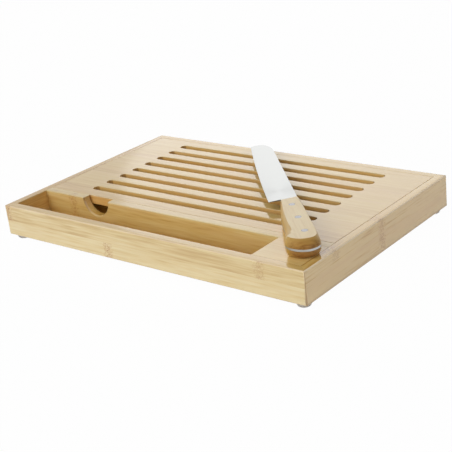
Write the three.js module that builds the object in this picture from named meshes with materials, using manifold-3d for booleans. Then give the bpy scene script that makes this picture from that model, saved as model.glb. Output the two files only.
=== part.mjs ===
// Bread board with a knife: a mitred bamboo tray, a lift-out slotted board and a full-tang knife.
// Millimetres. Origin under the middle of the tray at the level of the feet, +X along the front
// rail, +Y to the back, +Z up.
import * as THREE from 'three';
import { mergeVertices } from 'three/addons/utils/BufferGeometryUtils.js';
import Module from 'manifold-3d';

const wasm = await Module();
wasm.setup();

// Tray
const trayLength = 400;
const trayWidth = 260;
const trayHeight = 34;
const railThickness = 10;
const topEase = 1.8;
const lowerEase = 1;
const cornerEase = 2.2;
const innerArris = 0.35;
const glueLine = 0.04;
const easeSteps = 4;

// Bottom panel, let into a rebate along the rails' lower inside edge
const panelThickness = 10;
const rebateWall = 5;
const panelClearance = 0.3;

// Knife trough along the front
const troughWidth = 43;
const endBlockLength = 55.5;
const dividerThickness = 10;
const ledgeWidth = 10;

// Half-round finger notch in the divider
const notchRadius = 18;
const notchEase = 2;
const notchFromRail = 78.6;
const notchSteps = 48;

// Slotted board
const slottedThickness = 10;
const slottedClearance = 0.15;
const slottedArris = 0.25;
const slotCount = 8;
const slotWidth = 9.6;
const slotFrontLand = 19.65;
const slotBackLand = 17.65;
const slotEndLand = 47.55;
const slotEndSteps = 8;

// Feet
const footHeight = 6;
const footTopRadius = 8;
const footBottomRadius = 7;
const footEase = 3;
const footInset = 11;
const footSides = 24;

// Knife
const bladeLength = 185.3;
const tipWidth = 22.8;
const heelWidth = 29.4;
const edgeBelly = 3.2;
const tipRoundLength = 27;
const tipRoundDepth = 14;
const tipSetback = 1;
const tipCornerRadius = 1.6;
const bladeThickness = 2;
const grindTop = 3;
const shoulderThickness = 0.7;
const edgeThickness = 0.2;
const edgeBevel = 1.4;
const grindStations = 16;
const heelSlant = 1.5;
const choilWidth = 16;
const choilRadius = 1.5;
const neckLength = 18;
const handleLength = 112.4;
const buttWidth = 31.3;
const handleThickness = 19;
const sideRound = THREE.MathUtils.degToRad(55);
const sideSteps = 6;
const spanSteps = 5;
const bladeSteps = 24;
const seatGap = 0.3;
const scaleGap = 0.05;
const rivetRadius = 3.2;
const rivetClearance = 0.06;
const rivetEase = 0.2;
const rivetFromFront = 20;
const rivetFromButt = 24.4;
const rivetDrop = 11.5;
const rivetSides = 24;
const rivetNames = ['handle_rivet_front', 'handle_rivet_middle', 'handle_rivet_rear'];

// Where the knife lies: the top of its heel, from the inner faces of the right and front rails
const heelFromRight = 81.9;
const heelFromFront = 112.9;
const knifeTurn = THREE.MathUtils.degToRad(-45);

// Cutters run past the faces they cut by this much
const overrun = 2;

// Handle outline where the scales meet the tang, as shares of the handle length and butt width
const tangOutlineShares = [
  [0.031, -0.655], [0.25, -0.775], [0.46, -0.835], [0.6, -0.842], [0.71, -0.9], [0.8, -0.975],
  [0.86, -1], [0.905, -0.945], [0.95, -0.82], [0.985, -0.64], [1, -0.4], [0.98, -0.18],
  [0.935, -0.02], [0.86, 0.015], [0.6, 0], [0.3, 0], [0, 0],
];

// Outline of the flat outer face of a scale, point for point with the one above: the finger
// scoop takes the lower edge in before the beak, and the butt is drawn in all round
const faceOutlineShares = [
  [0.036, -0.62], [0.25, -0.69], [0.455, -0.725], [0.6, -0.725], [0.72, -0.715], [0.79, -0.765],
  [0.85, -0.92], [0.88, -0.875], [0.915, -0.75], [0.94, -0.58], [0.945, -0.38], [0.93, -0.2],
  [0.885, -0.09], [0.82, -0.062], [0.6, -0.06], [0.3, -0.065], [0.005, -0.1],
];

const bamboo = new THREE.MeshStandardMaterial({ color: 0xdccaa8, roughness: 0.55, metalness: 0 });
const darkBamboo = new THREE.MeshStandardMaterial({ color: 0xc9a977, roughness: 0.6, metalness: 0 });
const handleWood = new THREE.MeshStandardMaterial({ color: 0xdcc9a0, roughness: 0.45, metalness: 0 });
const steel = new THREE.MeshStandardMaterial({ color: 0xe2e4e4, roughness: 0.3, metalness: 1 });
const rivetMetal = new THREE.MeshStandardMaterial({ color: 0xc9cacd, roughness: 0.35, metalness: 1 });
const silicone = new THREE.MeshStandardMaterial({ color: 0xd8d6cf, roughness: 0.4, metalness: 0 });

// Sizes that several pieces share
const innerHalfLength = trayLength / 2 - railThickness;
const innerHalfWidth = trayWidth / 2 - railThickness;
const dividerFront = -innerHalfWidth + troughWidth;
const dividerBack = dividerFront + dividerThickness;
const wallHeight = trayHeight - panelThickness;
const slottedBottom = trayHeight - slottedThickness;
const scaleThickness = handleThickness / 2 - bladeThickness / 2;

function solidOf(geometry) {
  const bare = geometry.clone();
  bare.deleteAttribute('normal');
  bare.deleteAttribute('uv');
  const merged = mergeVertices(bare);
  const mesh = new wasm.Mesh({
    numProp: 3,
    vertProperties: new Float32Array(merged.attributes.position.array),
    triVerts: new Uint32Array(merged.index.array),
  });
  return new wasm.Manifold(mesh);
}

function geometryOf(solid) {
  const mesh = solid.getMesh();
  const indexed = new THREE.BufferGeometry();
  indexed.setAttribute('position', new THREE.BufferAttribute(mesh.vertProperties, mesh.numProp));
  indexed.setIndex(new THREE.BufferAttribute(mesh.triVerts, 1));
  const geometry = indexed.toNonIndexed();
  geometry.computeVertexNormals();
  return geometry;
}

function cut(body, ...tools) {
  return geometryOf(tools.reduce((rest, tool) => rest.subtract(solidOf(tool)), solidOf(body)));
}

// A plain plate with its lowest corner at the given place
function plate(size, corner) {
  const geometry = new THREE.BoxGeometry(size.x, size.y, size.z);
  geometry.translate(corner.x + size.x / 2, corner.y + size.y / 2, corner.z + size.z / 2);
  return geometry;
}

function extrude(shape, depth, options = {}) {
  return new THREE.ExtrudeGeometry(shape, { depth, bevelEnabled: false, ...options });
}

// Extrusions of an upright section: x and y of the shape become Y and Z of a bar along X, or X
// and Z of a bar along Y
function barAlongX(section, length, start) {
  const geometry = extrude(section, length);
  geometry.rotateX(Math.PI / 2);
  geometry.rotateZ(Math.PI / 2);
  geometry.translate(start, 0, 0);
  return geometry;
}

function barAlongY(section, length, start) {
  const geometry = extrude(section, length);
  geometry.rotateX(Math.PI / 2);
  geometry.translate(0, start + length, 0);
  return geometry;
}

// Points of an arc about a centre, both ends included
function arc(centreX, centreY, radius, from, to, steps) {
  const points = [];
  for (let i = 0; i <= steps; i += 1) {
    const angle = from + ((to - from) * i) / steps;
    points.push(new THREE.Vector2(centreX + radius * Math.cos(angle), centreY + radius * Math.sin(angle)));
  }
  return points;
}

// Section across a rail: x runs in from the outer face, y is the height. The outer edges are
// eased, the upper one more, and the lower inside corner is rebated for the bottom panel.
function railSection() {
  const half = Math.PI / 2;
  return new THREE.Shape([
    new THREE.Vector2(rebateWall, 0),
    new THREE.Vector2(rebateWall, panelThickness),
    new THREE.Vector2(railThickness, panelThickness),
    new THREE.Vector2(railThickness, trayHeight - innerArris),
    new THREE.Vector2(railThickness - innerArris, trayHeight),
    ...arc(topEase, trayHeight - topEase, topEase, half, 2 * half, easeSteps),
    ...arc(lowerEase, lowerEase, lowerEase, 2 * half, 3 * half, easeSteps),
  ]);
}

// Plan of a rail with its outer face on y = 0: both ends are mitred and take half of the
// tray's rounded corner each
function railPlan(length) {
  const eighth = Math.PI / 4;
  const end = length / 2 - glueLine / 2;
  const rightArc = arc(end - cornerEase, cornerEase, cornerEase, -2 * eighth, -eighth, easeSteps);
  const leftArc = arc(cornerEase - end, cornerEase, cornerEase, -3 * eighth, -2 * eighth, easeSteps);
  return new THREE.Shape([
    ...leftArc,
    ...rightArc,
    new THREE.Vector2(end - railThickness, railThickness),
    new THREE.Vector2(railThickness - end, railThickness),
  ]);
}

function railGeometry(length) {
  const plan = extrude(railPlan(length), trayHeight + 2 * overrun);
  plan.translate(0, 0, -overrun);
  const bar = barAlongX(railSection(), length + 2 * overrun, -length / 2 - overrun);
  return geometryOf(solidOf(plan).intersect(solidOf(bar)));
}

function addMesh(parent, name, geometry, material) {
  const mesh = new THREE.Mesh(geometry, material);
  mesh.name = name;
  parent.add(mesh);
  return mesh;
}

function addRails(tray) {
  const rails = [
    ['front_rail', trayLength, trayWidth, 0],
    ['right_rail', trayWidth, trayLength, 1],
    ['back_rail', trayLength, trayWidth, 2],
    ['left_rail', trayWidth, trayLength, 3],
  ];
  rails.forEach(([name, length, across, quarter]) => {
    const geometry = railGeometry(length);
    geometry.translate(0, -across / 2, 0);
    geometry.rotateZ((quarter * Math.PI) / 2);
    addMesh(tray, name, geometry, bamboo);
  });
}

function addBottomPanel(tray) {
  const inset = rebateWall + panelClearance;
  const size = new THREE.Vector3(trayLength - 2 * inset, trayWidth - 2 * inset, panelThickness);
  const corner = new THREE.Vector3(-size.x / 2, -size.y / 2, 0);
  addMesh(tray, 'bottom_panel', plate(size, corner), darkBamboo);
}

// Turned cutter for the finger notch: its radius swells to both faces of the divider, so that
// the notch's rims come out rounded over
function notchCutter() {
  const quarter = Math.PI / 2;
  const half = dividerThickness / 2;
  const rim = notchRadius + notchEase;
  const profile = [
    new THREE.Vector2(0, -half - overrun),
    new THREE.Vector2(rim, -half - overrun),
    ...arc(rim, notchEase - half, notchEase, -quarter, -2 * quarter, easeSteps),
    ...arc(rim, half - notchEase, notchEase, 2 * quarter, quarter, easeSteps),
    new THREE.Vector2(rim, half + overrun),
    new THREE.Vector2(0, half + overrun),
  ];
  return new THREE.LatheGeometry(profile, notchSteps);
}

// Upright section of a wall that stands on the bottom panel, its top edges broken by an arris
function wallSection(from, to, rightArris) {
  return new THREE.Shape([
    new THREE.Vector2(from, panelThickness),
    new THREE.Vector2(to, panelThickness),
    new THREE.Vector2(to, trayHeight - rightArris),
    new THREE.Vector2(to - rightArris, trayHeight),
    new THREE.Vector2(from + innerArris, trayHeight),
    new THREE.Vector2(from, trayHeight - innerArris),
  ]);
}

function addDivider(tray) {
  const end = innerHalfLength - glueLine;
  const wall = barAlongX(wallSection(dividerFront, dividerBack, innerArris), 2 * end, -end);
  const cutter = notchCutter();
  cutter.translate(notchFromRail - innerHalfLength, dividerFront + dividerThickness / 2, trayHeight);
  addMesh(tray, 'trough_divider', cut(wall, cutter), bamboo);
}

function addEndBlock(tray) {
  const section = wallSection(innerHalfLength - endBlockLength, innerHalfLength - glueLine, glueLine);
  const start = glueLine - innerHalfWidth;
  addMesh(tray, 'trough_end_block', barAlongY(section, troughWidth - 2 * glueLine, start), bamboo);
}

// Ledges that carry the two ends of the slotted board
function addLedges(tray) {
  const size = new THREE.Vector3(
    ledgeWidth,
    innerHalfWidth - dividerBack - 2 * glueLine,
    slottedBottom - panelThickness,
  );
  const places = [
    ['support_strip_left', glueLine - innerHalfLength],
    ['support_strip_right', innerHalfLength - glueLine - ledgeWidth],
  ];
  places.forEach(([name, x]) => {
    const corner = new THREE.Vector3(x, dividerBack + glueLine, panelThickness);
    addMesh(tray, name, plate(size, corner), darkBamboo);
  });
}

// Clear bumper, turned: flat where it is stuck on and where it stands, tapered between and well
// rounded at its lower rim
function footGeometry() {
  const profile = [
    new THREE.Vector2(0, 0),
    ...arc(footBottomRadius - footEase, footEase, footEase, -Math.PI / 2, 0, easeSteps),
    new THREE.Vector2(footTopRadius, footHeight),
    new THREE.Vector2(0, footHeight),
  ];
  const geometry = new THREE.LatheGeometry(profile, footSides);
  geometry.rotateX(Math.PI / 2);
  return geometry;
}

function addFeet(group) {
  const x = trayLength / 2 - footInset;
  const y = trayWidth / 2 - footInset;
  const places = [
    ['foot_front_left', -x, -y],
    ['foot_front_right', x, -y],
    ['foot_back_left', -x, y],
    ['foot_back_right', x, y],
  ];
  places.forEach(([name, footX, footY]) => {
    const foot = addMesh(group, name, footGeometry(), silicone);
    foot.position.set(footX, footY, 0);
  });
}

// One round-ended slot, as a hole between its two end centres
function slotPath(halfLength, y) {
  const radius = slotWidth / 2;
  const quarter = Math.PI / 2;
  return new THREE.Path([
    ...arc(halfLength - radius, y, radius, -quarter, quarter, slotEndSteps),
    ...arc(radius - halfLength, y, radius, quarter, 3 * quarter, slotEndSteps),
  ]);
}

function addSlottedBoard(group) {
  const length = 2 * (innerHalfLength - slottedClearance);
  const width = innerHalfWidth - dividerBack - 2 * slottedClearance;
  const shape = new THREE.Shape([
    new THREE.Vector2(-length / 2, 0),
    new THREE.Vector2(length / 2, 0),
    new THREE.Vector2(length / 2, width),
    new THREE.Vector2(-length / 2, width),
  ]);
  const pitch = (width - slotFrontLand - slotBackLand) / (slotCount - 1);
  for (let i = 0; i < slotCount; i += 1) {
    shape.holes.push(slotPath(length / 2 - slotEndLand, slotFrontLand + pitch * i));
  }
  const geometry = extrude(shape, slottedThickness - 2 * slottedArris, {
    bevelEnabled: true,
    bevelThickness: slottedArris,
    bevelSize: slottedArris,
    bevelOffset: -slottedArris,
    bevelSegments: 1,
  });
  geometry.translate(0, dividerBack + slottedClearance, slottedBottom + slottedArris);
  addMesh(group, 'slotted_board', geometry, bamboo);
}

// Points along a handle outline, from the lower front corner round the butt to the upper one
function handleOutline(shares) {
  const knots = shares.map(([along, across]) => (
    new THREE.Vector3(neckLength + along * handleLength, across * buttWidth, 0)
  ));
  const curve = new THREE.CatmullRomCurve3(knots, false, 'centripetal');
  const points = curve.getPoints(spanSteps * (knots.length - 1));
  return points.map((point) => new THREE.Vector2(point.x, point.y));
}

// Solid through rings of as many points each, closed by flat ends. The ends' outlines are given
// flat as well, and each ring turns the same way round as its outline.
function loft(rings, firstOutline, lastOutline) {
  const count = rings[0].length;
  const faces = [];
  for (let ring = 0; ring < rings.length - 1; ring += 1) {
    for (let i = 0; i < count; i += 1) {
      const a = ring * count + i;
      const b = ring * count + ((i + 1) % count);
      faces.push(a, b, b + count, a, b + count, a + count);
    }
  }
  const last = (rings.length - 1) * count;
  THREE.ShapeUtils.triangulateShape(firstOutline, []).forEach(([a, b, c]) => {
    faces.push(a, c, b);
  });
  THREE.ShapeUtils.triangulateShape(lastOutline, []).forEach(([a, b, c]) => {
    faces.push(last + a, last + b, last + c);
  });
  const positions = rings.flat().flatMap((point) => [point.x, point.y, point.z]);
  const geometry = new THREE.BufferGeometry();
  geometry.setAttribute('position', new THREE.Float32BufferAttribute(positions, 3));
  geometry.setIndex(faces);
  geometry.computeVertexNormals();
  return geometry;
}

// The cutting edge, from the tip corner to the heel
function edgeCurve() {
  return new THREE.QuadraticBezierCurve(
    new THREE.Vector2(tipSetback - bladeLength, -tipWidth),
    new THREE.Vector2(-bladeLength / 2, -(tipWidth + heelWidth) / 2 - edgeBelly),
    new THREE.Vector2(0, -heelWidth),
  );
}

// Outline of blade and tang in one piece, with the spine on y = 0 and the heel on x = 0. The
// choil runs in a shallow curve from the root of the heel to the front of the scales.
function bladeOutline() {
  const edge = edgeCurve();
  const corner = edge.v0;
  const tang = handleOutline(tangOutlineShares);
  const shape = new THREE.Shape();
  shape.moveTo(corner.x + tipCornerRadius, corner.y);
  shape.quadraticCurveTo(edge.v1.x, edge.v1.y, edge.v2.x, edge.v2.y);
  shape.lineTo(-heelSlant, -choilWidth - choilRadius);
  shape.quadraticCurveTo(-heelSlant, -choilWidth, choilRadius - heelSlant, -choilWidth);
  shape.quadraticCurveTo(neckLength / 2, -choilWidth, tang[0].x, tang[0].y);
  tang.slice(1).forEach((point) => shape.lineTo(point.x, point.y));
  shape.lineTo(tipRoundLength - bladeLength, 0);
  shape.absellipse(
    tipRoundLength - bladeLength,
    -tipRoundDepth,
    tipRoundLength,
    tipRoundDepth,
    Math.PI / 2,
    Math.PI,
  );
  const tipMiddle = (corner.y - tipRoundDepth) / 2;
  shape.quadraticCurveTo(-bladeLength, tipMiddle, corner.x, corner.y + tipCornerRadius);
  shape.quadraticCurveTo(corner.x, corner.y, corner.x + tipCornerRadius, corner.y);
  return shape;
}

// What the grinder takes off one side of the blade: a flat from just under the spine down to a
// thin shoulder, then the steeper bevel that follows the curve of the cutting edge
function grindSection(width, side) {
  const points = [
    [-grindTop, bladeThickness / 2],
    [edgeBevel - width, shoulderThickness / 2],
    [-width, edgeThickness / 2],
    [-width - overrun, edgeThickness / 2],
    [-width - overrun, bladeThickness / 2 + overrun],
    [-grindTop, bladeThickness / 2 + overrun],
  ];
  const outline = points.map(([across, up]) => new THREE.Vector2(across, side * up));
  return side > 0 ? outline.reverse() : outline;
}

function grindCutter(side) {
  const stations = edgeCurve().getPoints(grindStations);
  stations[0].x -= overrun;
  const outlines = stations.map((station) => grindSection(-station.y, side));
  const rings = outlines.map((outline, i) => (
    outline.map((point) => new THREE.Vector3(stations[i].x, point.x, point.y))
  ));
  return loft(rings, outlines[0], outlines[grindStations]);
}

// Stands a turned piece upright on the place of one of the rivets along the handle
function moveToRivet(geometry, index) {
  const span = handleLength - rivetFromFront - rivetFromButt;
  const along = rivetFromFront + (span * index) / (rivetNames.length - 1);
  geometry.rotateX(Math.PI / 2);
  geometry.translate(neckLength + along, -rivetDrop, 0);
  return geometry;
}

function rivetHoles() {
  const radius = rivetRadius + rivetClearance;
  const length = handleThickness + 2 * overrun;
  return rivetNames.map((name, i) => (
    moveToRivet(new THREE.CylinderGeometry(radius, radius, length, rivetSides), i)
  ));
}

function addBlade(knife) {
  const blank = extrude(bladeOutline(), bladeThickness, { curveSegments: bladeSteps });
  blank.translate(0, 0, -bladeThickness / 2);
  const geometry = cut(blank, grindCutter(1), grindCutter(-1), ...rivetHoles());
  addMesh(knife, 'knife_blade', geometry, steel);
}

// One handle scale, lofted from the tang outline to its flat outer face along a quarter round
function scaleLoft() {
  const lower = handleOutline(tangOutlineShares);
  const upper = handleOutline(faceOutlineShares);
  const rings = [];
  for (let level = 0; level <= sideSteps; level += 1) {
    const angle = (sideRound * level) / sideSteps;
    const inward = (1 - Math.cos(angle)) / (1 - Math.cos(sideRound));
    const rise = (scaleThickness - scaleGap) * (Math.sin(angle) / Math.sin(sideRound));
    const height = bladeThickness / 2 + scaleGap + rise;
    rings.push(lower.map((point, i) => {
      const place = point.clone().lerp(upper[i], inward);
      return new THREE.Vector3(place.x, place.y, height);
    }));
  }
  return loft(rings, lower, upper);
}

function addScales(knife) {
  const scale = scaleLoft();
  addMesh(knife, 'handle_scale_upper', cut(scale, ...rivetHoles()), handleWood);
  const mirrored = geometryOf(solidOf(scale).mirror([0, 0, 1]));
  addMesh(knife, 'handle_scale_lower', cut(mirrored, ...rivetHoles()), handleWood);
}

// Rivet with eased rims, flush with both scales
function rivetGeometry(index) {
  const half = handleThickness / 2;
  const quarter = Math.PI / 2;
  const profile = [
    new THREE.Vector2(0, -half),
    ...arc(rivetRadius - rivetEase, rivetEase - half, rivetEase, -quarter, 0, easeSteps),
    ...arc(rivetRadius - rivetEase, half - rivetEase, rivetEase, 0, quarter, easeSteps),
    new THREE.Vector2(0, half),
  ];
  return moveToRivet(new THREE.LatheGeometry(profile, rivetSides), index);
}

function addRivets(knife) {
  rivetNames.forEach((name, i) => addMesh(knife, name, rivetGeometry(i), rivetMetal));
}

function buildKnife() {
  const knife = new THREE.Group();
  addBlade(knife);
  addScales(knife);
  addRivets(knife);
  knife.rotation.z = knifeTurn;
  knife.position.set(
    innerHalfLength - heelFromRight,
    heelFromFront - innerHalfWidth,
    trayHeight + seatGap + handleThickness / 2,
  );
  return knife;
}

function buildTray() {
  const tray = new THREE.Group();
  addRails(tray);
  addBottomPanel(tray);
  addDivider(tray);
  addEndBlock(tray);
  addLedges(tray);
  addSlottedBoard(tray);
  tray.add(buildKnife());
  tray.position.z = footHeight;
  return tray;
}

const group = new THREE.Group();
addFeet(group);
group.add(buildTray());

export default group;
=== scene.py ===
# Cutting board with a knife: finishes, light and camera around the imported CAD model.
# Metres, in the model's own frame: +X along the front rail, +Y to the back, +Z up.
import math

import bpy
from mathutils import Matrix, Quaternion, Vector

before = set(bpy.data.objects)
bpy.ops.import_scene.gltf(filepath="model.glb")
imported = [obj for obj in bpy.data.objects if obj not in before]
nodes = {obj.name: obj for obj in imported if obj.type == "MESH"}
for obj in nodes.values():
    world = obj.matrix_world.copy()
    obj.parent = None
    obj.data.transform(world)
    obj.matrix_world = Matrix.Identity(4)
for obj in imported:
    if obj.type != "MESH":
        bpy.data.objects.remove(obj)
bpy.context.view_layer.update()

print("frame:", len(nodes), "nodes")


# Small tools

def linear(hexColour):
    # an sRGB hex colour as the linear values that shaders take
    channels = [int(hexColour[i:i + 2], 16) / 255 for i in (1, 3, 5)]
    return tuple(c / 12.92 if c <= 0.04045 else ((c + 0.055) / 1.055) ** 2.4 for c in channels) + (1,)


def addNode(tree, kind, inputs={}, stops=(), **settings):
    # adds a node with its settings and links: an input takes a value, a socket, or a node whose
    # first active output feeds it, and stops are the places and hex colours of a ramp
    node = tree.nodes.new(kind)
    for name, value in settings.items():
        setattr(node, name, value)
    for key, value in inputs.items():
        if isinstance(value, bpy.types.Node):
            value = next(output for output in value.outputs if output.enabled)
        if isinstance(value, bpy.types.NodeSocket):
            tree.links.new(value, node.inputs[key])
        else:
            node.inputs[key].default_value = value
    for i, (place, hexColour) in enumerate(stops):
        elements = node.color_ramp.elements
        element = elements[i] if i < len(elements) else elements.new(place)
        element.position = place
        element.color = linear(hexColour)
    return node


def newMaterial(name):
    material = bpy.data.materials.new(name)
    material.use_nodes = True
    material.node_tree.nodes.clear()
    return material, material.node_tree


# Camera, standing where the picture was taken

cameraSetup = {
    "place": (0.699007, -0.796428, 0.426015),
    "aim": (0.037137, -0.03852, 0.02),
    "roll": -6.6994,            # degrees
    "lens": 84.14,              # mm on a 36 mm sensor
    "nearest": 0.01,            # metres; nothing closer is drawn
}


def addCamera():
    data = bpy.data.cameras.new("camera")
    data.lens = cameraSetup["lens"]
    data.clip_start = cameraSetup["nearest"]
    camera = bpy.data.objects.new("camera", data)
    bpy.context.collection.objects.link(camera)
    camera.location = cameraSetup["place"]
    look = Vector(cameraSetup["aim"]) - camera.location
    roll = Quaternion((0, 0, 1), math.radians(cameraSetup["roll"]))
    camera.rotation_mode = "QUATERNION"
    camera.rotation_quaternion = look.to_track_quat("-Z", "Y") @ roll
    bpy.context.scene.camera = camera


addCamera()
print("camera: done")


# Light and floor

studio = {
    "skyLight": 0.06,           # how brightly the white room lights the wood
    "floorSize": 12,
    "floorPaper": "#F2F2F2",
    "floorGlow": 0.98,          # share of plain white that the eye sees on the floor
}

# direction from the board, distance and size in metres, power in watts; the soft box alone is
# mirrored in gloss and steel, and the white room stands there for the others
lamps = {
    "keyLamp": {"from": (-0.38, -0.84, 0.36), "distance": 8, "size": 6, "power": 303, "mirrored": False},
    "highLamp": {"from": (-0.18, -0.6, 0.8), "distance": 8, "size": 6, "power": 208, "mirrored": False},
    "sideLamp": {"from": (0.95, -0.15, 0.4), "distance": 8, "size": 6, "power": 177, "mirrored": False},
    "backFill": {"from": (-0.72, 0.68, 0.2), "distance": 8, "size": 4, "power": 100, "mirrored": False},
    "backSoftbox": {"from": (-0.5, 0.72, 0.38), "distance": 1.7, "size": 0.9, "power": 1.5,
                    "mirrored": True},
}


def addLamp(name, setup):
    data = bpy.data.lights.new(name, "AREA")
    data.shape = "DISK"
    data.size = setup["size"]
    data.energy = setup["power"]
    lamp = bpy.data.objects.new(name, data)
    bpy.context.collection.objects.link(lamp)
    lamp.location = Vector(setup["from"]).normalized() * setup["distance"]
    lamp.rotation_euler = (-lamp.location).to_track_quat("-Z", "Y").to_euler()
    lamp.visible_glossy = setup["mirrored"]


def whiteForEyes(tree):
    # 1 where a ray comes from the camera, off a gloss or through silicone
    path = addNode(tree, "ShaderNodeLightPath")
    seen = addNode(tree, "ShaderNodeMath", {0: path.outputs["Is Camera Ray"],
                                            1: path.outputs["Is Glossy Ray"]}, operation="MAXIMUM")
    return addNode(tree, "ShaderNodeMath", {0: seen, 1: path.outputs["Is Transmission Ray"]},
                   operation="MAXIMUM")


def addWorld():
    world = bpy.data.worlds.new("whiteRoom")
    bpy.context.scene.world = world
    world.use_nodes = True
    tree = world.node_tree
    tree.nodes.clear()
    dim = addNode(tree, "ShaderNodeBackground", {"Color": (1, 1, 1, 1), "Strength": studio["skyLight"]})
    white = addNode(tree, "ShaderNodeBackground", {"Color": (1, 1, 1, 1), "Strength": 1})
    mix = addNode(tree, "ShaderNodeMixShader", {0: whiteForEyes(tree), 1: dim, 2: white})
    addNode(tree, "ShaderNodeOutputWorld", {"Surface": mix})


def addFloor():
    # seamless matt paper: the eye sees it melt into the white room, under a faint shadow
    bpy.ops.mesh.primitive_plane_add(size=studio["floorSize"])
    floor = bpy.context.object
    floor.name = "floor"
    material, tree = newMaterial("whitePaperSweep")
    paper = addNode(tree, "ShaderNodeBsdfDiffuse", {"Color": linear(studio["floorPaper"])})
    glow = addNode(tree, "ShaderNodeEmission", {"Color": (1, 1, 1, 1), "Strength": 1})
    share = addNode(tree, "ShaderNodeMath", {0: whiteForEyes(tree), 1: studio["floorGlow"]},
                    operation="MULTIPLY")
    mix = addNode(tree, "ShaderNodeMixShader", {0: share, 1: paper, 2: glow})
    addNode(tree, "ShaderNodeOutputMaterial", {"Surface": mix})
    floor.data.materials.append(material)


bpy.context.scene.view_settings.view_transform = "Standard"
addWorld()
addFloor()
for name, setup in lamps.items():
    addLamp(name, setup)
print("light and floor: done")


# Shading of the CAD pieces: shared corners joined, flats flat and rounds smooth

def shadingGroup(name, steepest, weld=0.00001):
    # joins corners closer than the weld, in metres, and shades smooth over each edge that turns
    # by no more than the steepest angle, in degrees
    tree = bpy.data.node_groups.new(name, "GeometryNodeTree")
    tree.interface.new_socket("Geometry", in_out="INPUT", socket_type="NodeSocketGeometry")
    tree.interface.new_socket("Geometry", in_out="OUTPUT", socket_type="NodeSocketGeometry")
    start = addNode(tree, "NodeGroupInput")
    joined = addNode(tree, "GeometryNodeMergeByDistance", {"Geometry": start, "Distance": weld})
    bare = addNode(tree, "GeometryNodeRemoveAttribute", {"Geometry": joined, "Name": "custom_normal"})
    angle = addNode(tree, "GeometryNodeInputMeshEdgeAngle")
    gentle = addNode(tree, "FunctionNodeCompare", {0: angle, 1: math.radians(steepest)},
                     data_type="FLOAT", operation="LESS_EQUAL")
    faces = addNode(tree, "GeometryNodeSetShadeSmooth", {"Geometry": bare, "Shade Smooth": True},
                    domain="FACE")
    edges = addNode(tree, "GeometryNodeSetShadeSmooth", {"Geometry": faces, "Shade Smooth": gentle},
                    domain="EDGE")
    addNode(tree, "NodeGroupOutput", {0: edges})
    return tree


smoothRounds = shadingGroup("smoothRounds", 30)
smoothArrises = shadingGroup("smoothArrises", 50)       # a broken arris, at 45 degrees, looks rounded


def finishEdges(name, shading):
    piece = nodes[name]
    smooth = piece.modifiers.new("smooth", "NODES")
    smooth.node_group = shading
    flats = piece.modifiers.new("flatsStayFlat", "WEIGHTED_NORMAL")
    flats.keep_sharp = True


def grainPattern(tree, place, along, layers, tone=0.5):
    # sums noises drawn out along the grain, each with its cells' length and width in mm, detail
    # and amount, into a tone about the one given
    tone -= sum(amount for length, width, detail, amount in layers) / 2
    for length, width, detail, amount in layers:
        size = (length, width, width) if along == "X" else (width, length, width)
        cells = addNode(tree, "ShaderNodeVectorMath", {0: place, 1: size}, operation="DIVIDE")
        noise = addNode(tree, "ShaderNodeTexNoise", {"Vector": cells, "Scale": 1, "Detail": detail})
        tone = addNode(tree, "ShaderNodeMath", {0: noise, 1: amount, 2: tone}, operation="MULTIPLY_ADD")
    return tone


# Bamboo: strips of split cane pressed and glued, planed, sanded and lightly oiled. The eye sees
# long fibres, a tone of its own for each strip, now and then the curly band of a cane's joint,
# and a satin gloss that turns the golden wood pale against the light. Lengths are in mm, and
# bands say where a mask begins and where it is full.

bambooFinish = {
    "ramp": [(0.12, "#BD9458"), (0.36, "#D2B377"), (0.55, "#E1C991"), (0.86, "#ECDBAD")],
    "fibres": [(120, 9, 2, 0.5), (55, 3, 2, 0.75), (26, 1.5, 2, 0.5), (60, 0.9, 1, 0.2)],  # coarse, to show
    "stripSpread": 0.2,         # how far the strips' tones lie apart
    "cutApart": 900,            # how far apart in the cane two neighbouring strips grew, at most
    "rose": "#E4C8A2",          # of the rosier strips
    "roseGrain": [(200, 12, 2, 1)],
    "roseBand": (0.45, 0.75),
    "joint": "#AC6C30",         # of the dashes at a cane's joint
    "jointReach": 9,            # how far along the grain a joint shows
    "jointDashes": [(5, 1.6, 2, 1)],
    "jointBand": (0.42, 0.62),
    "curl": 7,                  # how far the fibres swerve at a joint
    "curlBand": (0.3, 0.7),
    "curlsPerMm": 0.28,
    "innerWalls": (190.5, 120.5),       # X and Y just past the rails' inner faces
    "wallShadeBand": (39.6, 38.8),        # heights just under the top, where the painted wall shade starts
    "wallShadeColours": [(0, "#DFC48C"), (0.5, "#F9E2B2"), (1, "#FEE3B4")],    # painted shade and golden bounce light, from the floor to the rim
    "wallHeights": (16, 40),
    "topBand": (0.5, 1),        # how far up a face looks, 1 straight up
    # painted highlight on the rounded upper edges
    "sanded": "#FFEBCA",
    "arrisBand": (0.15, 0.85),
    "flatTop": 0.98,            # a face that looks further up is flat
    "endGrain": [(0.1, "#CCA46C"), (0.5, "#B88F57")],
    "endBand": (0.62, 0.95),
    "endShare": 0.5,            # how far end grain covers the fibres
    "fibreBundle": 0.9,         # from one bundle to the next
    # painted shade on the outer corners and downward faces, also used for the darker lower edge
    "edge": "#9C7344",
    "edgeShare": 0.7,           # how dark the painted shade makes the edges
    "cornerBand": (0.1, 0.42),
    "underBand": (-0.12, -0.5),
    "lowEdgeHeights": (9.5, 7),       # heights along the lower edge
    "roughness": (0.44, 0.56),
    "reliefDepth": 0.0001,      # metres
}


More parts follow.
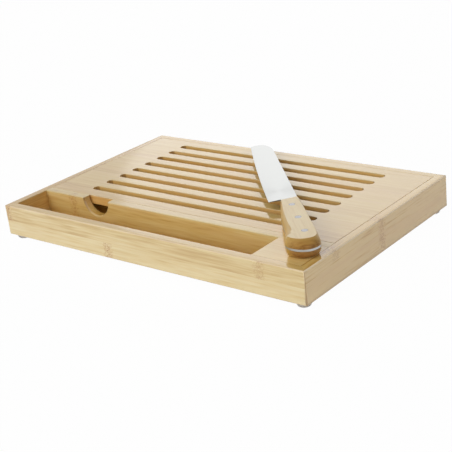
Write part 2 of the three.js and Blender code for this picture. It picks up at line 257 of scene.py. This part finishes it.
def bamboo(name, look):
    finish = bambooFinish
    material, tree = newMaterial(name)
    coords = addNode(tree, "ShaderNodeTexCoord")
    mm = addNode(tree, "ShaderNodeVectorMath", {0: coords.outputs["Object"], "Scale": 1000},
                 operation="SCALE")
    axes = addNode(tree, "ShaderNodeSeparateXYZ", {0: mm})
    facing = addNode(tree, "ShaderNodeSeparateXYZ", {0: coords.outputs["Normal"]})
    along = axes.outputs[look["grain"]]
    across = axes.outputs[look["across"]]

    # each strip has a shift and a tone of its own, so that no fibre runs across a glue line
    fromEdge = addNode(tree, "ShaderNodeVectorMath", {0: mm, 1: look["stripStart"]}, operation="SUBTRACT")
    counted = addNode(tree, "ShaderNodeVectorMath", {0: fromEdge, 1: look["stripSize"]}, operation="DIVIDE")
    strip = addNode(tree, "ShaderNodeVectorMath", {0: counted}, operation="FLOOR")
    chance = addNode(tree, "ShaderNodeTexWhiteNoise", {0: strip, 1: look["seed"]}, noise_dimensions="4D")
    place = addNode(tree, "ShaderNodeVectorMath", {
        0: chance.outputs["Color"], 1: (finish["cutApart"],) * 3, 2: mm}, operation="MULTIPLY_ADD")
    stripTone = addNode(tree, "ShaderNodeMath", {
        0: chance.outputs["Value"], 1: finish["stripSpread"], 2: look["tone"] - finish["stripSpread"] / 2},
        operation="MULTIPLY_ADD")

    # cane joints: how near the next one is, within its strip
    knot = 0.0
    for start, middle, half, strength in look["joints"]:
        off = addNode(tree, "ShaderNodeMath", {0: along, 1: start}, operation="SUBTRACT")
        off = addNode(tree, "ShaderNodeMath", {0: off}, operation="ABSOLUTE")
        near = addNode(tree, "ShaderNodeMapRange", {0: off, 1: finish["jointReach"], 2: 0, 4: strength},
                       interpolation_type="SMOOTHSTEP")
        inStrip = addNode(tree, "ShaderNodeMath", {0: across, 1: middle, 2: half}, operation="COMPARE")
        knot = addNode(tree, "ShaderNodeMath", {0: near, 1: inStrip, 2: knot}, operation="MULTIPLY_ADD")

    # the fibres curl round a joint
    swirl = addNode(tree, "ShaderNodeTexNoise", {"Vector": place, "Scale": finish["curlsPerMm"], "Detail": 1})
    low, high = finish["curlBand"]
    curl = addNode(tree, "ShaderNodeMapRange", {
        0: swirl, 1: low, 2: high, 3: -finish["curl"], 4: finish["curl"]})
    curl = addNode(tree, "ShaderNodeMath", {0: curl, 1: knot}, operation="MULTIPLY")
    place = addNode(tree, "ShaderNodeVectorMath", {0: place, 1: curl}, operation="ADD")

    tone = grainPattern(tree, place, look["grain"], finish["fibres"], 0)
    tone = addNode(tree, "ShaderNodeMath", {0: tone, 1: look["contrast"], 2: stripTone},
                   operation="MULTIPLY_ADD")
    colour = addNode(tree, "ShaderNodeValToRGB", {0: tone}, finish["ramp"])

    # here and there a strip is rosier
    blush = grainPattern(tree, place, look["grain"], finish["roseGrain"])
    low, high = finish["roseBand"]
    blush = addNode(tree, "ShaderNodeMapRange", {0: blush, 1: low, 2: high, 4: look["blush"]})
    colour = addNode(tree, "ShaderNodeMix", {0: blush, 6: colour, 7: linear(finish["rose"])},
                     data_type="RGBA")

    # painted shade and golden bounce light within the rails and below the top: the walls are tinted
    # golden, and get browner towards the floor
    innerX, innerY = finish["innerWalls"]
    insideX = addNode(tree, "ShaderNodeMath", {0: axes.outputs["X"], 1: 0, 2: innerX}, operation="COMPARE")
    insideY = addNode(tree, "ShaderNodeMath", {0: axes.outputs["Y"], 1: 0, 2: innerY}, operation="COMPARE")
    inside = addNode(tree, "ShaderNodeMath", {0: insideX, 1: insideY}, operation="MULTIPLY")
    high, low = finish["wallShadeBand"]
    paintedWallShade = addNode(tree, "ShaderNodeMapRange", {0: axes.outputs["Z"], 1: high, 2: low, 4: look["wallShade"]})
    paintedWallShade = addNode(tree, "ShaderNodeMath", {0: paintedWallShade, 1: inside}, operation="MULTIPLY")
    low, high = finish["wallHeights"]
    height = addNode(tree, "ShaderNodeMapRange", {0: axes.outputs["Z"], 1: low, 2: high})
    wallShadeColour = addNode(tree, "ShaderNodeValToRGB", {0: height}, finish["wallShadeColours"])
    colour = addNode(tree, "ShaderNodeMix", {0: paintedWallShade, 6: colour, 7: wallShadeColour}, data_type="RGBA",
                     blend_type="MULTIPLY")

    # the top faces are the ones that get oiled
    low, high = finish["topBand"]
    top = addNode(tree, "ShaderNodeMapRange", {0: facing.outputs["Z"], 1: low, 2: high})
    colour = addNode(tree, "ShaderNodeMix", {0: top, 6: colour, 7: linear(look["oiled"])},
                     data_type="RGBA", blend_type="MULTIPLY")
    colour = addNode(tree, "ShaderNodeMix", {0: 1, 6: colour, 7: linear(look["tint"])},
                     data_type="RGBA", blend_type="MULTIPLY")

    # painted highlight: the rounded upper edges outside the rails are mixed towards a pale colour
    low, high = finish["arrisBand"]
    arris = addNode(tree, "ShaderNodeMapRange", {
        0: facing.outputs["Z"], 1: low, 2: high, 4: look["arrisHighlight"]}, interpolation_type="SMOOTHSTEP")
    bent = addNode(tree, "ShaderNodeMath", {0: facing.outputs["Z"], 1: finish["flatTop"]},
                   operation="LESS_THAN")
    arris = addNode(tree, "ShaderNodeMath", {0: arris, 1: bent}, operation="MULTIPLY")
    arris = addNode(tree, "ShaderNodeMath", {0: arris, 1: inside}, operation="SUBTRACT", use_clamp=True)
    colour = addNode(tree, "ShaderNodeMix", {0: arris, 6: colour, 7: linear(finish["sanded"])},
                     data_type="RGBA")

    # short dashes darken a cane's joint
    dashes = grainPattern(tree, place, look["grain"], finish["jointDashes"])
    low, high = finish["jointBand"]
    dashes = addNode(tree, "ShaderNodeMapRange", {0: dashes, 1: low, 2: high},
                     interpolation_type="SMOOTHSTEP")
    mark = addNode(tree, "ShaderNodeMath", {0: dashes, 1: knot}, operation="MULTIPLY")
    colour = addNode(tree, "ShaderNodeMix", {0: mark, 6: colour, 7: linear(finish["joint"])},
                     data_type="RGBA")

    # cut ends show the fibre bundles as dots and drink more oil
    endFacing = addNode(tree, "ShaderNodeMath", {0: facing.outputs[look["grain"]]}, operation="ABSOLUTE")
    low, high = finish["endBand"]
    endFacing = addNode(tree, "ShaderNodeMapRange", {0: endFacing, 1: low, 2: high, 4: finish["endShare"]},
                        interpolation_type="SMOOTHSTEP")
    dots = addNode(tree, "ShaderNodeTexVoronoi", {"Vector": mm, "Scale": 1 / finish["fibreBundle"]})
    endColour = addNode(tree, "ShaderNodeValToRGB", {0: dots}, finish["endGrain"])
    colour = addNode(tree, "ShaderNodeMix", {0: endFacing, 6: colour, 7: endColour}, data_type="RGBA")

    # painted shade darkens the outer corners and the faces that look downwards, and the lower edge also
    # darkens along a band above the bottom
    corner = addNode(tree, "ShaderNodeMath", {0: facing.outputs["X"], 1: facing.outputs["Y"]},
                     operation="MULTIPLY")
    corner = addNode(tree, "ShaderNodeMath", {0: corner}, operation="ABSOLUTE")
    low, high = finish["cornerBand"]
    corner = addNode(tree, "ShaderNodeMapRange", {0: corner, 1: low, 2: high, 4: finish["edgeShare"]},
                     interpolation_type="SMOOTHSTEP")
    high, low = finish["underBand"]
    under = addNode(tree, "ShaderNodeMapRange", {
        0: facing.outputs["Z"], 1: high, 2: low, 4: finish["edgeShare"]}, interpolation_type="SMOOTHSTEP")
    edge = addNode(tree, "ShaderNodeMath", {0: corner, 1: under}, operation="MAXIMUM")
    high, low = finish["lowEdgeHeights"]
    lowEdge = addNode(tree, "ShaderNodeMapRange", {
        0: axes.outputs["Z"], 1: high, 2: low, 4: look["lowEdgeDarkening"]}, interpolation_type="SMOOTHSTEP")
    edge = addNode(tree, "ShaderNodeMath", {0: edge, 1: lowEdge}, operation="MAXIMUM")
    colour = addNode(tree, "ShaderNodeMix", {0: edge, 6: colour, 7: linear(finish["edge"])},
                     data_type="RGBA")

    # the oil lies as a thin clear coat, which does most of the shining
    smoothest, roughest = finish["roughness"]
    roughness = addNode(tree, "ShaderNodeMapRange", {0: tone, 3: smoothest, 4: roughest})
    relief = addNode(tree, "ShaderNodeBump", {
        "Height": tone, "Strength": 0.3, "Distance": finish["reliefDepth"]})
    surface = addNode(tree, "ShaderNodeBsdfPrincipled", {
        "Base Color": colour, "Roughness": roughness, "IOR": 1.5, "Specular IOR Level": 0.15,
        "Normal": relief, "Coat Weight": 1, "Coat Roughness": 0.12, "Coat IOR": 1.7, "Coat Normal": relief})
    addNode(tree, "ShaderNodeOutputMaterial", {"Surface": surface})
    return material


# Each wooden piece: the ways along and across its grain, how it is glued up from strips (start
# and size in mm), and its cane joints: place along the grain, middle and half width of the strip
# that shows it, and strength

whole = 5000                    # mm, a strip wide enough to take in any piece
oneStrip = {"stripStart": (-whole / 2, -whole / 2, 6), "stripSize": (whole, whole, whole)}
twoHigh = {"stripStart": (-whole / 2, -whole / 2, 6), "stripSize": (whole, whole, 17)}

commonLook = {
    "tone": 0.55,               # place on the ramp
    "contrast": 0.9,            # of the fibres
    "blush": 0.5,               # how rosy its rosiest strips are
    "tint": "#FFFFFF",          # over the whole piece
    "oiled": "#FDEEC8",         # over its top faces
    "arrisHighlight": 0.55,            # how pale the painted highlight makes its rounded upper edges
    "wallShade": 0.65,            # how strongly painted shade and bounce light tint its inner walls golden
    "lowEdgeDarkening": 0,               # how much darker its lower edge gets
    "joints": [],
}

woodenPieces = {
    "front_rail": {
        "grain": "X", "across": "Z", "seed": 24, **twoHigh, "contrast": 0.8, "blush": 0.1, "oiled": "#F8E6B8",
        "joints": [(-45, 14, 9, 0.8), (149, 31, 9, 0.5), (-196, 31, 9, 0.9)]},
    "back_rail": {
        "grain": "X", "across": "Z", "seed": 2, **twoHigh,
        "joints": [(62, 14, 9, 0.8), (-128, 31, 9, 0.8)]},
    "left_rail": {
        "grain": "Y", "across": "Z", "seed": 3, **twoHigh, "tone": 0.4,
        "joints": [(38, 31, 9, 0.8), (-70, 14, 9, 0.7)]},
    "right_rail": {
        # its lighter tone and warm tint are painted warm bounce light on this side
        "grain": "Y", "across": "Z", "seed": 4, **twoHigh, "tone": 1, "contrast": 2.6, "tint": "#FFEED6",
        "oiled": "#F6F0CC", "arrisHighlight": 0.8, "lowEdgeDarkening": 0.4,
        "joints": [(-1, 24, 17, 0.7), (-80, 37, 6, 0.5)]},
    "trough_divider": {
        "grain": "X", "across": "Z", "seed": 14, **oneStrip, "tone": 0.56, "contrast": 1.1, "tint": "#FBFFF8",
        "joints": [(-147, 23, 17, 0.6)]},
    "trough_end_block": {
        "grain": "X", "across": "Y", "seed": 6, "tone": 0.7, "contrast": 0.65, "blush": 0.15,
        "stripStart": (-whole / 2, -120, 6), "stripSize": (whole, 21.5, whole)},
    "slotted_board": {
        "grain": "X", "across": "Y", "seed": 7, "contrast": 0.65, "wallShade": 0.85,
        "stripStart": (-whole / 2, -66.5, 6), "stripSize": (whole, 20.7, whole)},
    "bottom_panel": {
        "grain": "X", "across": "Y", "seed": 8, "tone": 0.65, "blush": 0, "tint": "#F3EAC8",
        "stripStart": (-whole / 2, -125, 6), "stripSize": (whole, 19, whole)},
    "support_strip_left": {"grain": "Y", "across": "X", "seed": 9, **oneStrip},
    "support_strip_right": {"grain": "Y", "across": "X", "seed": 10, **oneStrip},
}

for name, piece in woodenPieces.items():
    finishEdges(name, smoothArrises)
    nodes[name].material_slots[0].material = bamboo("oiledBamboo_" + name, {**commonLook, **piece})
print("bamboo: done")


# Knife: all its finishes are drawn in its own frame, so that marks and grain follow it

knife = {
    "heel": (0.1081, -0.0071, 0.0498),
    "turn": -45,                # degrees
}


def knifePlace(tree):
    # mm in the knife's own frame: X from heel to butt, Y across, Z up through the scales
    coords = addNode(tree, "ShaderNodeTexCoord")
    turned = addNode(tree, "ShaderNodeMapping", {
        0: coords.outputs["Object"], 1: knife["heel"], 2: (0, 0, math.radians(knife["turn"]))},
        vector_type="TEXTURE")
    return addNode(tree, "ShaderNodeVectorMath", {0: turned, "Scale": 1000}, operation="SCALE")


# Blade: rolled stainless steel, ground and then brushed across. It mirrors the room as one pale
# sheet, blurred along the blade by fine cross marks.

blade = {
    "steel": [(0.2, "#B2B3B2"), (0.8, "#BBBCBA")],
    "brushMarks": [(60, 0.35, 3, 0.7), (30, 14, 2, 0.5)],       # coarser than real ones, to show
    "roughness": (0.28, 0.4),
    "reliefDepth": 0.00002,     # metres
}


def brushedSteel():
    material, tree = newMaterial("brushedStainlessSteel")
    marks = grainPattern(tree, knifePlace(tree), "Y", blade["brushMarks"])
    colour = addNode(tree, "ShaderNodeValToRGB", {0: marks}, blade["steel"])
    smoothest, roughest = blade["roughness"]
    roughness = addNode(tree, "ShaderNodeMapRange", {0: marks, 3: smoothest, 4: roughest})
    relief = addNode(tree, "ShaderNodeBump", {
        "Height": marks, "Strength": 0.2, "Distance": blade["reliefDepth"]})
    surface = addNode(tree, "ShaderNodeBsdfPrincipled", {
        "Base Color": colour, "Metallic": 1, "Roughness": roughness, "Anisotropic": 0.4, "Normal": relief})
    addNode(tree, "ShaderNodeOutputMaterial", {"Surface": surface})
    return material


# Grip: pale beech, sawn into scales, sanded and oiled. The flat faces show straight grain and
# short pores under a soft sheen; the curved sides are darkened with painted shade, and the butt is dull and
# layered, with painted shade darkening it towards its bottom.

grip = {
    "wood": [(0.25, "#DABD82"), (0.5, "#E8CF9C"), (0.75, "#EDD9A8")],
    "grain": [(40, 8, 2, 0.6), (35, 1.8, 2, 0.45)],
    "pores": "#B58A50",
    "poreGrain": [(7, 0.5, 2, 1)],
    "poreBand": (0.56, 0.72),
    "poreShare": 0.2,
    # painted shade on the curved sides
    "side": "#B8923F",
    "sideBand": (0.97, 0.86),   # how far up or down a face looks
    "sideShare": 0.95,
    "butt": [(0.1, "#825628"), (0.32, "#A4783E"), (0.5, "#80561F"), (0.58, "#9A7032"), (0.9, "#AE8644")],
    "buttBand": (0.2, 0.8),     # how far a face looks away from the tip
    "layers": [(40, 2.4, 2, 0.9)],
    # painted shade on the butt, darker towards its bottom
    "buttShadeHeights": (-9, 9),    # mm from the tang's middle
    "buttShadeTones": (0.1, 0.75),
    "roughness": (0.5, 0.7),    # of the faces and of the butt
    "sheen": (0.8, 0.1),
    "reliefDepth": 0.00008,     # metres
}


def sandedBeech():
    material, tree = newMaterial("sandedPaleBeech")
    mm = knifePlace(tree)
    coords = addNode(tree, "ShaderNodeTexCoord")
    facing = addNode(tree, "ShaderNodeVectorRotate", {
        0: coords.outputs["Normal"], "Angle": -math.radians(knife["turn"])}, rotation_type="Z_AXIS")
    facing = addNode(tree, "ShaderNodeSeparateXYZ", {0: facing})

    tone = grainPattern(tree, mm, "X", grip["grain"])
    colour = addNode(tree, "ShaderNodeValToRGB", {0: tone}, grip["wood"])
    pores = grainPattern(tree, mm, "X", grip["poreGrain"])
    low, high = grip["poreBand"]
    pores = addNode(tree, "ShaderNodeMapRange", {0: pores, 1: low, 2: high, 4: grip["poreShare"]})
    colour = addNode(tree, "ShaderNodeMix", {0: pores, 6: colour, 7: linear(grip["pores"])},
                     data_type="RGBA")

    # painted shade darkens the curved sides; the butt cuts across the fibres and stays darker
    upright = addNode(tree, "ShaderNodeMath", {0: facing.outputs["Z"]}, operation="ABSOLUTE")
    high, low = grip["sideBand"]
    side = addNode(tree, "ShaderNodeMapRange", {0: upright, 1: high, 2: low, 4: grip["sideShare"]},
                   interpolation_type="SMOOTHSTEP")
    colour = addNode(tree, "ShaderNodeMix", {0: side, 6: colour, 7: linear(grip["side"])},
                     data_type="RGBA")
    low, high = grip["buttBand"]
    butt = addNode(tree, "ShaderNodeMapRange", {0: facing.outputs["X"], 1: low, 2: high},
                   interpolation_type="SMOOTHSTEP")
    # painted shade: the butt darkens towards its bottom, over its layered grain
    height = addNode(tree, "ShaderNodeSeparateXYZ", {0: mm})
    low, high = grip["buttShadeHeights"]
    darkest, palest = grip["buttShadeTones"]
    height = addNode(tree, "ShaderNodeMapRange", {
        0: height.outputs["Z"], 1: low, 2: high, 3: darkest, 4: palest})
    layers = grainPattern(tree, mm, "Y", grip["layers"], 0)
    layers = addNode(tree, "ShaderNodeMath", {0: layers, 1: height}, operation="ADD")
    buttColour = addNode(tree, "ShaderNodeValToRGB", {0: layers}, grip["butt"])
    colour = addNode(tree, "ShaderNodeMix", {0: butt, 6: colour, 7: buttColour}, data_type="RGBA")

    relief = addNode(tree, "ShaderNodeBump", {
        "Height": tone, "Strength": 0.3, "Distance": grip["reliefDepth"]})
    ofFaces, ofButt = grip["roughness"]
    roughness = addNode(tree, "ShaderNodeMapRange", {0: butt, 3: ofFaces, 4: ofButt})
    ofFaces, ofButt = grip["sheen"]
    sheen = addNode(tree, "ShaderNodeMapRange", {0: butt, 3: ofFaces, 4: ofButt})
    surface = addNode(tree, "ShaderNodeBsdfPrincipled", {
        "Base Color": colour, "Roughness": roughness, "IOR": 1.5, "Normal": relief,
        "Coat Weight": sheen, "Coat Roughness": 0.35, "Coat IOR": 1.5, "Coat Normal": relief})
    addNode(tree, "ShaderNodeOutputMaterial", {"Surface": surface})
    return material


# Rivets: aluminium, sanded flush with the scales. They look like dull grey discs with fine
# scratches along the grip.

rivets = {
    "metal": [(0.2, "#8E8E91"), (0.8, "#A2A2A5")],
    "scratches": [(3, 0.3, 2, 1)],
    "roughness": (0.25, 0.45),
}


def sandedAluminium():
    material, tree = newMaterial("sandedAluminium")
    marks = grainPattern(tree, knifePlace(tree), "X", rivets["scratches"])
    colour = addNode(tree, "ShaderNodeValToRGB", {0: marks}, rivets["metal"])
    smoothest, roughest = rivets["roughness"]
    roughness = addNode(tree, "ShaderNodeMapRange", {0: marks, 3: smoothest, 4: roughest})
    surface = addNode(tree, "ShaderNodeBsdfPrincipled", {
        "Base Color": colour, "Metallic": 1, "Roughness": roughness})
    addNode(tree, "ShaderNodeOutputMaterial", {"Surface": surface})
    return material


knifeFinishes = [
    (brushedSteel(), ["knife_blade"]),
    (sandedBeech(), ["handle_scale_upper", "handle_scale_lower"]),
    (sandedAluminium(), ["handle_rivet_front", "handle_rivet_middle", "handle_rivet_rear"]),
]
for finish, names in knifeFinishes:
    for name in names:
        finishEdges(name, smoothRounds)
        nodes[name].material_slots[0].material = finish
print("knife: done")


# Feet: clear silicone, moulded smooth and milky with dust. A little light comes through them.

feet = {
    "clear": "#BDB5AA",
    "dust": "#DAD4CA",
    "dustSpecks": 900,          # per metre
    "roughness": (0.25, 0.5),
}


def mouldedSilicone():
    material, tree = newMaterial("mouldedSilicone")
    coords = addNode(tree, "ShaderNodeTexCoord")
    dust = addNode(tree, "ShaderNodeTexNoise", {
        "Vector": coords.outputs["Object"], "Scale": feet["dustSpecks"], "Detail": 2})
    colour = addNode(tree, "ShaderNodeMix", {0: dust, 6: linear(feet["clear"]), 7: linear(feet["dust"])},
                     data_type="RGBA")
    smoothest, roughest = feet["roughness"]
    roughness = addNode(tree, "ShaderNodeMapRange", {0: dust, 3: smoothest, 4: roughest})
    surface = addNode(tree, "ShaderNodeBsdfPrincipled", {
        "Base Color": colour, "Roughness": roughness, "IOR": 1.41, "Transmission Weight": 0.35})
    addNode(tree, "ShaderNodeOutputMaterial", {"Surface": surface})
    return material


footMaterial = mouldedSilicone()
for name in ("foot_front_left", "foot_front_right", "foot_back_left", "foot_back_right"):
    finishEdges(name, smoothRounds)
    nodes[name].material_slots[0].material = footMaterial
print("feet: done")
